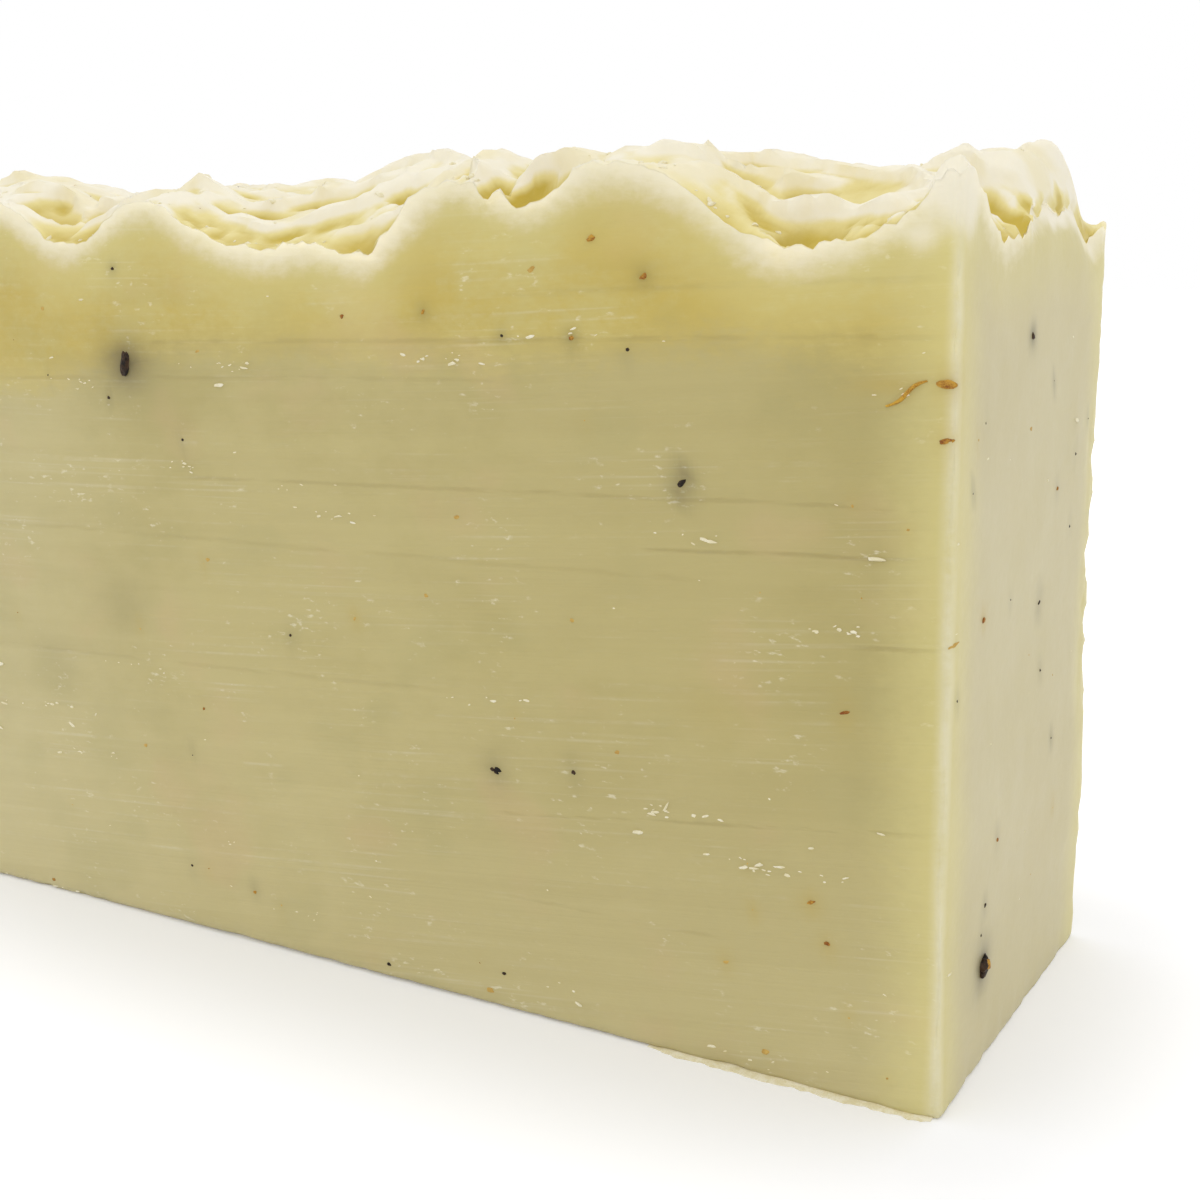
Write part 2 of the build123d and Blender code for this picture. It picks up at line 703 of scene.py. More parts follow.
def blade_group() -> bpy.types.NodeTree:
    """The drag marks of the blade: long thin lines that rise a little to the right.

    Returns:
        The node group.
    """
    book, given, result = new_group(
        "Blade marks", {"Lines": 1400.0, "Broad lines": 260.0}, ["Line", "Broad"])
    axes = book.axes()
    low = book.calc("SUBTRACT", 0.056, axes["Z"])
    fan = book.calc("MULTIPLY", book.calc("MULTIPLY", low, axes["X"]), 2.2)
    square = book.calc("POWER", book.calc("ABSOLUTE", axes["X"]), 2.0)
    bow = book.calc("MULTIPLY", square, 0.55)
    level = book.calc("SUBTRACT", book.calc("SUBTRACT", axes["Z"], fan), bow)
    kinds = (("Line", given["Lines"], 0.016), ("Broad", given["Broad lines"], 0.03))
    for label, lines, reach in kinds:
        joined = book.add("ShaderNodeCombineXYZ")
        book.feed(joined.inputs["X"], book.calc("MULTIPLY", axes["X"], reach))
        book.feed(joined.inputs["Y"], book.calc("MULTIPLY", axes["Y"], 0.4))
        book.feed(joined.inputs["Z"], level)
        book.feed(result.inputs[label], book.clouds(joined.outputs[0], lines, 2.5, 0.6))
    return book.tree


@dataclass(frozen=True)
class SharedEffects:
    """The node groups that more than one finish uses."""

    mottle: bpy.types.NodeTree
    grain: bpy.types.NodeTree
    blade: bpy.types.NodeTree


@dataclass(frozen=True)
class Scrape:
    """A fine line that a speck on the blade dragged along the front cut, in millimetres."""

    start: tuple[float, float]
    stop: tuple[float, float]
    width: float = 0.09
    strength: float = 0.5

    def mask(self, book: NodeBook, along: object, up: object) -> Socket:
        """Where the line runs.

        Args:
            book: Where the nodes go.
            along: Metres along the face.
            up: Metres up from the base, with the line's waver in it.

        Returns:
            A mask's socket, 1 on the line.
        """
        (x0, z0), (x1, z1) = self.start, self.stop
        slope = (z1 - z0) / (x1 - x0)
        level = book.calc("MULTIPLY_ADD", along, slope, (z0 - slope * x0) * MM)
        off = book.calc("ABSOLUTE", book.calc("SUBTRACT", up, level))
        line = book.step(off, self.width * 2.2 * MM, self.width * 0.3 * MM)
        starts = book.step(along, (x0 - 1) * MM, (x0 + 2) * MM)
        stops = book.step(along, (x1 + 1) * MM, (x1 - 2) * MM)
        ends = book.calc("MULTIPLY", starts, stops)
        return book.calc("MULTIPLY", book.calc("MULTIPLY", line, ends), self.strength)


@dataclass(frozen=True)
class SoapFinish:
    """Waxy olive-cream soap: tan above, olive below, pale where it met the air, with painted light
    along its edges and at its base, and painted shade in the top's hollows.

    The tan band's two heights and the depth that light reaches in the soap are metres.
    """

    olive: Colour = paint(194, 181, 124)
    olive_deep: Colour = paint(182, 169, 110)
    olive_right: Colour = paint(178, 164, 104)
    olive_left: Colour = paint(206, 196, 152)
    # Painted light: a paler olive for the foot of the cut face, making up for the shade near the
    # floor.
    olive_low_painted_light: Colour = paint(210, 198, 150)
    tan: Colour = paint(198, 176, 90)
    tan_pale: Colour = paint(201, 185, 112)
    blush: Colour = paint(206, 176, 132)
    moss: Colour = paint(166, 160, 108)
    drag: Colour = paint(166, 150, 96)
    scrape: Colour = paint(146, 128, 74)
    scuff: Colour = paint(238, 232, 206)
    # Painted glow: the yellower pale that stands in for light coming through the thin edges.
    painted_glow: Colour = paint(220, 209, 140)
    # Whitish bloom along the fine drag lines, and painted glow at the upright corners.
    pale_bloom_and_painted_glow: Colour = paint(236, 232, 214)
    end: Colour = paint(208, 198, 157)
    end_deep: Colour = paint(200, 188, 145)
    crust: Colour = paint(243, 236, 214)
    # Painted shade: the crust's colour in the top's hollows.
    crust_painted_shade: Colour = paint(231, 217, 150)
    crust_warm: Colour = paint(230, 214, 146)
    # Painted shade: the deepest yellow, in the top's pits.
    pit: Colour = paint(200, 176, 68)
    shade: Colour = paint(70, 60, 44)
    rust: Colour = paint(190, 164, 80)
    tan_from: float = 0.0437
    tan_full: float = 0.0479
    roughness: float = 0.46
    depth: float = 0.0024
    scrapes: tuple[Scrape, ...] = (
        Scrape((-34.0, 43.2), (14.6, 44.0), 0.12, 0.35),
        Scrape((-17.0, 46.1), (44.8, 46.9), 0.12, 0.45),
        Scrape((-14.1, 36.2), (44.5, 37.3), 0.1, 0.5),
        Scrape((24.1, 33.6), (44.9, 34.5), 0.09, 0.7),
        Scrape((39.4, 28.9), (45.0, 29.3), 0.1, 0.9),
        Scrape((13.6, 14.5), (44.4, 18.1), 0.09, 0.6),
        Scrape((13.4, 8.6), (30.5, 8.8), 0.1, 0.35),
        Scrape((14.8, 49.4), (44.3, 50.1), 0.14, 0.35),
        Scrape((-40.0, 21.0), (10.0, 22.6), 0.12, 0.3),
        Scrape((-44.0, 31.4), (30.0, 32.0), 0.12, 0.3),
    )

    def make(self, effects: SharedEffects) -> bpy.types.Material:
        """Builds the soap's material.

        Args:
            effects: The shared node groups.

        Returns:
            The material.
        """
        material, book, shader = new_material("soap")
        tone = book.group(effects.mottle, Scale=42.0, Fine_share=0.3).outputs["Tone"]
        patch = book.group(effects.mottle, Scale=150.0, Fine_share=0.6).outputs["Tone"]
        marks = book.group(effects.blade, Lines=3000.0, Broad_lines=750.0)
        cut, moulded, top = book.read("cut"), book.read("moulded"), book.read("top")
        lines = book.calc("MULTIPLY", self.scrape_lines(book, patch), cut)
        colour = self.body_colour(book, tone, patch, marks, cut)
        colour = book.tint(colour, moulded, 0.9, book.mix(tone, self.end, self.end_deep))
        colour = book.tint(colour, lines, 0.42, self.scrape)
        colour = self.edge_colour(book, colour, tone, patch)
        colour = book.mix(top, colour, self.crust_colour(book, patch))
        colour = book.mix(book.read("grey_stain"), colour, self.shade)
        colour = book.mix(book.read("rust_stain"), colour, self.rust)
        rough = book.calc("MULTIPLY_ADD", patch, 0.18, self.roughness - 0.09)
        inner = book.calc("MULTIPLY_ADD", top, -0.25, 0.4)
        book.feed(shader.inputs["Base Color"], colour)
        book.feed(shader.inputs["Roughness"], rough)
        book.feed(shader.inputs["Normal"], self.relief(book, effects, marks, cut, lines))
        book.feed(shader.inputs["Subsurface Weight"], inner)
        shader.inputs["Subsurface Radius"].default_value = (1.0, 0.86, 0.42)
        shader.inputs["Subsurface Scale"].default_value = self.depth
        shader.inputs["Specular IOR Level"].default_value = 0.35
        shader.subsurface_method = "BURLEY"
        return material

    def body_colour(self, book: NodeBook, tone: object, patch: object, marks: bpy.types.Node,
                    cut: object) -> Socket:
        """The cut face's colour: tan above the high drag line, olive under it, with painted light
        paling the olive towards the base.

        Args:
            book: Where the nodes go.
            tone: The large clouds.
            patch: The smaller clouds.
            marks: The blade marks' node.
            cut: The mask of the cut faces.

        Returns:
            The colour's socket.
        """
        axes = book.axes()
        drift = book.calc("MULTIPLY_ADD", patch, 0.005, -0.0025)
        sunk = book.calc("MULTIPLY", book.step(axes["X"], -0.012, -0.03), 0.0028)
        level = book.calc("ADD", book.calc("ADD", axes["Z"], drift), sunk)
        olive = book.mix(book.step(tone, 0.36, 0.66), self.olive, self.olive_deep)
        olive = book.tint(olive, book.step(axes["X"], 0.0, 0.03), 0.4, self.olive_right)
        olive = book.tint(olive, book.step(axes["X"], -0.01, -0.045), 0.45, self.olive_left)
        # Painted light: the olive pales towards the base, where the floor shades it.
        olive = book.tint(olive, book.step(axes["Z"], 0.03, 0.0), 0.5, self.olive_low_painted_light)
        upper = book.mix(book.step(patch, 0.3, 0.75), self.tan, self.tan_pale)
        colour = book.mix(book.step(level, self.tan_from, self.tan_full), olive, upper)

        broad = book.calc("MULTIPLY", book.step(marks.outputs["Broad"], 0.35, 0.68), cut)
        fine = book.calc("MULTIPLY", book.step(marks.outputs["Line"], 0.52, 0.8), cut)
        fine = book.calc("MULTIPLY", fine, book.step(patch, 0.35, 0.7))
        cloud = book.clouds(book.place((1, 1, 1.3)), 110.0, 2.0)
        rubbed = book.step(book.clouds(book.place((0.4, 0.4, 1)), 2400.0, 3.0, 0.6), 0.6, 0.72)
        rubbed = book.calc("MULTIPLY", rubbed, book.step(patch, 0.5, 0.72))
        for mask, amount, over in (
            (broad, 0.1, self.drag),
            (fine, 0.2, self.pale_bloom_and_painted_glow),
            (book.step(cloud, 0.56, 0.72), 0.22, self.blush),
            (book.step(cloud, 0.44, 0.3), 0.16, self.moss),
            (rubbed, 0.5, self.scuff),
        ):
            colour = book.tint(colour, mask, amount, over)
        return colour

    def edge_colour(self, book: NodeBook, colour: object, tone: object, patch: object) -> Socket:
        """Pales the soap along its rim and its upright corners with painted light: a paler,
        yellower glow standing in for light that comes through the thin edges, and the crust's
        colour in a band just under the rim.

        Args:
            book: Where the nodes go.
            colour: The colour so far.
            tone: The large clouds.
            patch: The smaller clouds.

        Returns:
            The colour's socket.
        """
        corner, below = book.read("corner_mm"), book.read("below_rim_mm")
        ragged = book.calc("MULTIPLY_ADD", patch, 2.4, -1.2)
        # Painted light: a glow by the upright corners.
        near = book.step(book.calc("ADD", corner, ragged), 5.5, 0.6)
        colour = book.tint(colour, near, 0.6, self.painted_glow)
        # Painted light: a bright whitish band right at the corners.
        sharp = book.step(book.calc("ADD", corner, book.calc("MULTIPLY", ragged, 0.3)), 1.1, 0.1)
        flecked = book.calc("MULTIPLY_ADD", patch, 0.8, -0.08)
        colour = book.mix(book.calc("MULTIPLY", sharp, flecked), colour, self.pale_bloom_and_painted_glow)
        # Painted light: a glow down from the rim, strongest close under it.
        uneven = book.calc("MULTIPLY_ADD", tone, 6.0, -3.0)
        high = book.step(book.calc("ADD", below, uneven), 7.5, 1.5)
        colour = book.tint(colour, high, 0.5, self.painted_glow)
        rim = book.step(book.calc("ADD", below, ragged), 2.6, 0.0)
        return book.tint(colour, rim, 0.8, self.crust)

    def crust_colour(self, book: NodeBook, patch: object) -> Socket:
        """The spooned top: pale cream crests, with painted shade in the hollows, deeper
        honey-yellow the further in they lie.

        Args:
            book: Where the nodes go.
            patch: The smaller clouds.

        Returns:
            The colour's socket.
        """
        uneven = book.calc("MULTIPLY_ADD", patch, 0.3, -0.15)
        hollow = book.calc("ADD", book.read("hollow"), uneven)
        # Painted shade: deeper yellow the further a point lies in a hollow.
        crust = book.mix(book.step(hollow, -0.25, 0.35), self.crust, self.crust_painted_shade)
        crust = book.mix(book.step(hollow, 0.2, 1.0), crust, self.pit)
        warm = book.step(book.clouds(book.place(), 190.0, 3.0), 0.46, 0.64)
        return book.tint(crust, warm, 0.34, self.crust_warm)

    def scrape_lines(self, book: NodeBook, patch: object) -> Socket:
        """All the fine lines on the front cut.

        Args:
            book: Where the nodes go.
            patch: The smaller clouds, which make the lines waver and fade.

        Returns:
            A mask's socket.
        """
        axes = book.axes()
        waver = book.calc("MULTIPLY_ADD", patch, 0.0003, -0.00015)
        up = book.calc("ADD", axes["Z"], waver)
        total = 0.0
        for scrape in self.scrapes:
            total = book.calc("MAXIMUM", scrape.mask(book, axes["X"], up), total)
        broken = book.step(book.clouds(book.place((0.15, 0.15, 1)), 1300.0, 2.0), 0.36, 0.56)
        facing = book.step(axes["Y"], 0.0, -0.01)
        return book.calc("MULTIPLY", book.calc("MULTIPLY", total, broken), facing)

    def relief(self, book: NodeBook, effects: SharedEffects, marks: bpy.types.Node,
               cut: object, lines: object) -> Socket:
        """The surface's fine relief: the blade's drag lines and a waxy grain.

        Args:
            book: Where the nodes go.
            effects: The shared node groups.
            marks: The blade marks' node.
            cut: The mask of the cut faces.
            lines: The mask of the fine lines.

        Returns:
            The normal's socket.
        """
        grain = book.group(effects.grain, Scale=1100.0, Depth=0.00005).outputs["Height"]
        coarse = book.group(effects.grain, Scale=260.0, Depth=0.00008).outputs["Height"]
        line = book.calc("MULTIPLY", marks.outputs["Line"], 0.00005)
        broad = book.calc("MULTIPLY", marks.outputs["Broad"], 0.00008)
        blade = book.calc("MULTIPLY", book.calc("ADD", line, broad), cut)
        height = book.calc("ADD", book.calc("ADD", grain, coarse), blade)
        height = book.calc("MULTIPLY_ADD", lines, -0.00008, height)
        return book.bump(height, 0.8)


@dataclass(frozen=True)
class SpeckFinish:
    """A finish for the small bits on and in the soap: two tones, mottled, with a fine grain."""

    name: str
    light: Colour
    dark: Colour
    roughness: float

    def make(self, effects: SharedEffects) -> bpy.types.Material:
        """Builds the bits' material.

        Args:
            effects: The shared node groups.

        Returns:
            The material.
        """
        material, book, shader = new_material(self.name)
        tone = book.group(effects.mottle, Scale=1600.0, Fine_share=0.8).outputs["Tone"]
        colour = book.mix(book.step(tone, 0.3, 0.7), self.light, self.dark)
        rough = book.calc("MULTIPLY_ADD", tone, 0.2, self.roughness - 0.1)
        height = book.group(effects.grain, Scale=4000.0, Depth=0.00003).outputs["Height"]
        book.feed(shader.inputs["Base Color"], colour)
        book.feed(shader.inputs["Roughness"], rough)
        book.feed(shader.inputs["Normal"], book.bump(height))
        shader.inputs["Specular IOR Level"].default_value = 0.25
        return material


# ----------------------------------------------------------------------------------------------
# The herb bits


@dataclass(frozen=True)
class Bit:
    """One bit of plant matter set in the soap.

    Its place is on one side: millimetres along the side, then up from the base. One that isn't
    proud lies under the surface, and only its stain shows.
    """

    kind: Grain
    side: Side
    along: float
    up: float
    length: float
    width: float
    turn: float = 0.0
    stain: float = 0.0
    rust: bool = False
    proud: float = 0.3
    streak: float = 1.0

    def place(self, length: float, thickness: float, height: float) -> np.ndarray:
        """Where the bit sits on a plain block of the bar's size.

        Args:
            length: The bar's length in millimetres.
            thickness: The bar's thickness.
            height: The bar's height.

        Returns:
            The place in millimetres.
        """
        outward = np.array(self.side.value, dtype=float)
        if self.side in (Side.FRONT, Side.BACK):
            spot = np.array([self.along, 0.0, self.up])
        elif self.side in (Side.RIGHT, Side.LEFT):
            spot = np.array([0.0, self.along, self.up])
        else:
            spot = np.array([self.along, self.up, height / 2])
        return spot + outward * np.array([length / 2, thickness / 2, height / 2])


def front(kind: Grain, along: float, up: float, length: float, width: float,
          **more: object) -> Bit:
    """A bit in the front cut face."""
    return Bit(kind, Side.FRONT, along, up, length, width, **more)


def end(kind: Grain, along: float, up: float, length: float, width: float,
        **more: object) -> Bit:
    """A bit in the right end face."""
    return Bit(kind, Side.RIGHT, along, up, length, width, **more)


@dataclass
class HerbBits:
    """The seeds, husks and petals showing in the soap: the large ones, then the loose ones."""

    length: float
    thickness: float
    height: float
    seed: int = 5
    bits: list[Bit] = field(default_factory=lambda: [
        front(Grain.SEED, -19.3, 44.6, 2.0, 0.85, turn=80, stain=0.9, proud=0.42, streak=1.3),
        front(Grain.SEED, 13.3, 17.5, 1.05, 0.5, turn=-14, stain=0.3),
        front(Grain.SEED, 19.6, 18.3, 0.42, 0.36, stain=0.4),
        front(Grain.SEED, -4.5, 25.1, 0.3, 0.26, stain=0.3),
        front(Grain.SEED, -14.0, 39.0, 0.32, 0.26, stain=0.3),
        front(Grain.HUSK, 25.3, 50.4, 0.6, 0.4, turn=30, stain=0.3),
        front(Grain.SEED, 27.8, 38.0, 0.7, 0.45, turn=40, stain=0.9),
        front(Grain.HUSK, 21.6, 52.7, 0.6, 0.42, turn=10),
        front(Grain.PETAL, 17.2, 50.9, 0.7, 0.4, turn=25),
        front(Grain.HUSK, 20.1, 46.7, 0.45, 0.3, stain=0.4),
        front(Grain.SEED, 24.1, 46.0, 0.32, 0.28, stain=0.3),
        front(Grain.SEED, 14.9, 46.8, 0.3, 0.25, stain=0.3),
        front(Grain.HUSK, 8.7, 48.3, 0.4, 0.28, turn=60, stain=0.3),
        front(Grain.HUSK, 1.8, 48.0, 0.4, 0.3, turn=15),
        front(Grain.PETAL, -28.0, 48.6, 0.5, 0.35),
        front(Grain.SEED, -20.0, 51.5, 0.35, 0.3, stain=0.3),
        front(Grain.SEED, -21.4, 41.9, 0.35, 0.28, stain=0.3),
        front(Grain.PETAL, -12.3, 30.1, 0.4, 0.3),
        front(Grain.PETAL, 10.8, 34.8, 0.45, 0.3, turn=20),
        front(Grain.PETAL, 8.0, 29.2, 0.4, 0.3),
        front(Grain.PETAL, 19.7, 28.6, 0.4, 0.28, turn=-20),
        front(Grain.PETAL, -20.4, 14.5, 0.4, 0.3),
        front(Grain.PETAL, 23.0, 20.2, 0.4, 0.3),
        front(Grain.HUSK, 38.7, 24.9, 0.7, 0.22, turn=15, stain=0.5, rust=True),
        front(Grain.HUSK, 36.6, 12.5, 0.6, 0.32, turn=25, stain=0.5, rust=True),
        front(Grain.HUSK, 37.7, 10.0, 0.45, 0.3, stain=0.4, rust=True),
        front(Grain.PETAL, 30.8, 7.3, 0.5, 0.3, turn=10, stain=0.3, rust=True),
        front(Grain.PETAL, 33.6, 1.8, 0.6, 0.35, turn=5),
        front(Grain.PETAL, 12.3, 1.2, 0.8, 0.4, turn=8),
        front(Grain.SEED, -21.4, 25.8, 2.2, 0.8, stain=0.17, proud=0, streak=1.5),
        front(Grain.SEED, -29.4, 20.5, 2.0, 0.8, stain=0.15, proud=0, streak=1.5),
        front(Grain.HUSK, 30.5, 24.0, 1.8, 0.8, stain=0.16, rust=True, proud=0, streak=1.8),
        front(Grain.SEED, 3.4, 1.2, 0.4, 0.3),
        front(Grain.SEED, 13.6, 2.7, 0.35, 0.3),
        front(Grain.HUSK, -9.5, 4.3, 0.35, 0.3, stain=0.3),
        front(Grain.SEED, -16.0, 5.3, 0.3, 0.26, stain=0.2),
        front(Grain.HUSK, -32.7, 0.9, 0.5, 0.3),
        front(Grain.PETAL, -11.9, 45.5, 0.5, 0.22, turn=10),
        front(Grain.HUSK, 44.25, 44.35, 1.2, 0.42, turn=-4, proud=0.55, stain=0.5, rust=True),
        front(Grain.PETAL, 41.0, 44.2, 0.3, 0.1, stain=0.55, rust=True, proud=0.05, streak=4.5),
        front(Grain.HUSK, 44.4, 41.2, 0.8, 0.3, turn=12, stain=0.4, rust=True),
        end(Grain.SEED, -1.9, 46.4, 0.55, 0.5, stain=0.8),
        end(Grain.PETAL, -1.5, 40.6, 0.5, 0.3),
        end(Grain.SEED, 9.2, 37.9, 0.34, 0.3, stain=0.2),
        end(Grain.HUSK, 5.0, 36.0, 0.36, 0.28, stain=0.2),
        end(Grain.SEED, 8.8, 32.9, 0.34, 0.3, stain=0.2),
        end(Grain.SEED, 2.4, 28.7, 0.6, 0.24, turn=15, stain=0.5),
        end(Grain.HUSK, -10.0, 29.9, 0.55, 0.42, stain=0.6, rust=True),
        end(Grain.SEED, 3.1, 23.9, 0.3, 0.26, stain=0.2),
        end(Grain.HUSK, -5.9, 14.8, 0.4, 0.32, stain=0.3),
        end(Grain.SEED, -8.0, 11.1, 0.36, 0.3, stain=0.3),
        end(Grain.SEED, -8.6, 9.3, 0.34, 0.28, stain=0.3),
        end(Grain.SEED, -8.0, 7.0, 1.5, 1.15, turn=60, stain=1.0, proud=0.4),
        end(Grain.HUSK, -7.9, 7.1, 0.8, 0.5, turn=70, proud=1.2),
        end(Grain.PETAL, -15.4, 29.5, 0.8, 0.22, turn=20),
    ])

    def __post_init__(self) -> None:
        """Adds the loose bits, on every side but the base."""
        draw = random.Random(self.seed)
        half_x, half_y = self.length / 2 - 1, self.thickness / 2 - 1
        reach = {
            Side.FRONT: (half_x, 1, 50, 26),
            Side.BACK: (half_x, 1, 50, 50),
            Side.RIGHT: (half_y, 1, 50, 12),
            Side.LEFT: (half_y, 1, 50, 18),
            Side.TOP: (half_x - 1, 1 - half_y, half_y - 1, 34),
        }
        for side, (half, low, high, count) in reach.items():
            for _ in range(count):
                kind = draw.choice([Grain.SEED, Grain.HUSK, Grain.PETAL, Grain.PETAL])
                size = draw.uniform(0.12, 0.26) + 0.5 * max(0.0, draw.random() - 0.9) * 4
                self.bits.append(Bit(
                    kind, side, draw.uniform(-half, half), draw.uniform(low, high), size,
                    size * draw.uniform(0.5, 0.9), draw.uniform(-60, 60),
                    draw.uniform(0.1, 0.45), kind is not Grain.SEED,
                ))

    def stains(self, points: np.ndarray) -> tuple[np.ndarray, np.ndarray]:
        """How strongly the bits have stained the soap round them.

        Args:
            points: The soap's vertices in millimetres.

        Returns:
            The grey stain and the rust stain at each vertex, from 0 to 1.
        """
        grey, rust = np.zeros(len(points)), np.zeros(len(points))
        for bit in self.bits:
            if bit.stain == 0:
                continue
            away = points - bit.place(self.length, self.thickness, self.height)
            away[:, 2] = away[:, 2] * (0 if bit.side is Side.TOP else 1)
            away = away / ((bit.streak, 1, 1) if bit.side is Side.FRONT else (1, bit.streak, 1))
            reach = 0.3 + bit.length * 0.7
            mark = bit.stain * 0.9 * np.exp(-(np.sqrt((away**2).sum(axis=1)) / reach) ** 1.5)
            if bit.rust:
                rust = np.maximum(rust, mark)
            else:
                grey = np.maximum(grey, mark)
        return grey, rust

    def build(self, soap: bpy.types.Object) -> dict[Grain, bpy.types.Object]:
        """Models every bit and seats it in the finished soap.

        Args:
            soap: The soap body.

        Returns:
            One object for each kind of bit.
        """
        tree = BVHTree.FromObject(soap, bpy.context.evaluated_depsgraph_get())
        made = {kind: [] for kind in Grain}
        for number, bit in enumerate(self.bits):
            place = bit.place(self.length, self.thickness, self.height)
            found = seat(tree, place, bit.side)
            if found and bit.proud > 0:
                made[bit.kind].append(self.model(bit, number, found))
        return {kind: join(parts, f"{kind.value}s") for kind, parts in made.items()}

    @staticmethod
    def model(bit: Bit, number: int, found: tuple[Vector, Vector]) -> bpy.types.Object:
        """Models one bit, part sunk in the surface.

        Args:
            bit: The bit.
            number: Its place in the list, which seeds its roughness.
            found: Where it sits, and the surface's outward direction there.

        Returns:
            The bit's object.
        """
        fine = 1 + (bit.length > 0.34) + (bit.length > 0.7)
        thick = bit.width * (0.45 if bit.kind is Grain.PETAL else 0.8)
        return nugget((bit.length, bit.width, thick), 0.3, number % 37, fine, found, bit.turn,
                      bit.proud)


def seat(tree: BVHTree, place: np.ndarray, side: Side) -> tuple[Vector, Vector] | None:
    """Finds where something set in one side meets the soap's surface.

    Args:
        tree: The soap's surface.
        place: The place on a plain block of the bar's size, in millimetres.
        side: The side.

    Returns:
        The place in metres and the surface's outward direction there, or None off the soap.
    """
    outward = Vector(side.value)
    hit, normal, _, _ = tree.ray_cast(Vector(place) * MM + outward * 0.02, -outward)
    return (hit, normal) if hit else None


def nugget(size: tuple[float, float, float], rough: float, seed: int, fine: int,
           found: tuple[Vector, Vector], turn: float, proud: float) -> bpy.types.Object:
    """Models one small rough lump, part sunk in a surface.

    Args:
        size: Its length, width and thickness in millimetres.
        rough: How rough it is, as a share of its size.
        seed: Picks its roughness.
        fine: How finely it is divided, from 1.
        found: Where it sits, and the surface's outward direction there.
        turn: How far it is turned on the surface, in degrees.
        proud: The share of its thickness that stands out.

    Returns:
        The lump's object, at the origin.
    """
    spot, outward = found
    deselect_all()
    bpy.ops.mesh.primitive_ico_sphere_add(subdivisions=fine, radius=0.5)
    ob = bpy.context.object
    points = read_points(ob)
    uneven = lumps(points * 2.2, 1.0, seed) + 0.5 * lumps(points * 5, 1.0, seed + 50)
    points = points * (1 + rough * uneven[:, None]) * size
    across = Vector((0, 0, 1)).cross(outward)
    across = across.normalized() if across.length > 0.2 else Vector((1, 0, 0))
    across = (across - outward * across.dot(outward)).normalized()
    along = Matrix.Rotation(math.radians(turn), 3, outward) @ across
    axes = np.array([along, outward.cross(along), outward])
    base = spot + outward * (size[2] * (proud - 0.5) * MM)
    write_points(ob, points @ axes * MM + np.array(base))
    return ob


def join(parts: list[bpy.types.Object], name: str) -> bpy.types.Object:
    """Joins objects into one.

    Args:
        parts: The objects, which sit at the origin.
        name: The joined object's name.

    Returns:
        The joined object.
    """
    deselect_all()
    for part in parts:
        part.select_set(True)
    bpy.context.view_layer.objects.active = parts[0]
    bpy.ops.object.join()
    parts[0].name = name
    parts[0].data.name = name
    return parts[0]


@dataclass
class Stem:
    """A dried stem that lies in the front face: a thin S-shaped rod, thicker at its middle.

    Its places are millimetres along the face and up from the base.
    """

    root: tuple[float, float] = (40.85, 43.05)
    tip: tuple[float, float] = (43.2, 44.5)
    sway: float = 0.13
    thick: float = 0.24
    rise: float = 0.04
    parts: int = 28
    sides: int = 10

    def build(self, soap: bpy.types.Object, front: float) -> bpy.types.Object:
        """Models the stem, half sunk in the face.

        Args:
            soap: The soap body.
            front: The front face's place in millimetres.

        Returns:
            The stem's object.
        """
        tree = BVHTree.FromObject(soap, bpy.context.evaluated_depsgraph_get())
        deselect_all()
        bpy.ops.mesh.primitive_cylinder_add(vertices=self.sides, radius=0.5, depth=1)
        ob = bpy.context.object
        ob.name = ob.data.name = "stem"
        divide(ob, 2, self.parts)
        points = read_points(ob)
        share = points[:, 2] + 0.5
        swell = 0.55 + 0.45 * np.sin(np.pi * share) + 0.12 * lumps(points * (1, 1, 12), 1.0, 3)
        bend = self.sway * np.sin(2 * np.pi * share)
        run = np.array(self.tip) - np.array(self.root)
        away = np.array([-run[1], run[0]]) / np.hypot(*run)
        line = np.array(self.root) + share[:, None] * run + bend[:, None] * -away
        side = points[:, :1] * (self.thick * swell)[:, None] * away
        spots = [seat(tree, np.array([a, front, b]), Side.FRONT)[0] for a, b in line]
        face = np.array([spot.y / MM for spot in spots])
        depth = face - self.rise + points[:, 1] * self.thick * swell
        write_points(ob, np.column_stack([line + side, depth])[:, [0, 2, 1]] * MM)
        make_active(ob)
        bpy.ops.object.mode_set(mode="EDIT")
        bpy.ops.mesh.select_all(action="SELECT")
        bpy.ops.mesh.normals_make_consistent(inside=False)
        bpy.ops.object.mode_set(mode="OBJECT")
        smooth(ob, 50)
        return ob


# ----------------------------------------------------------------------------------------------
# The soap


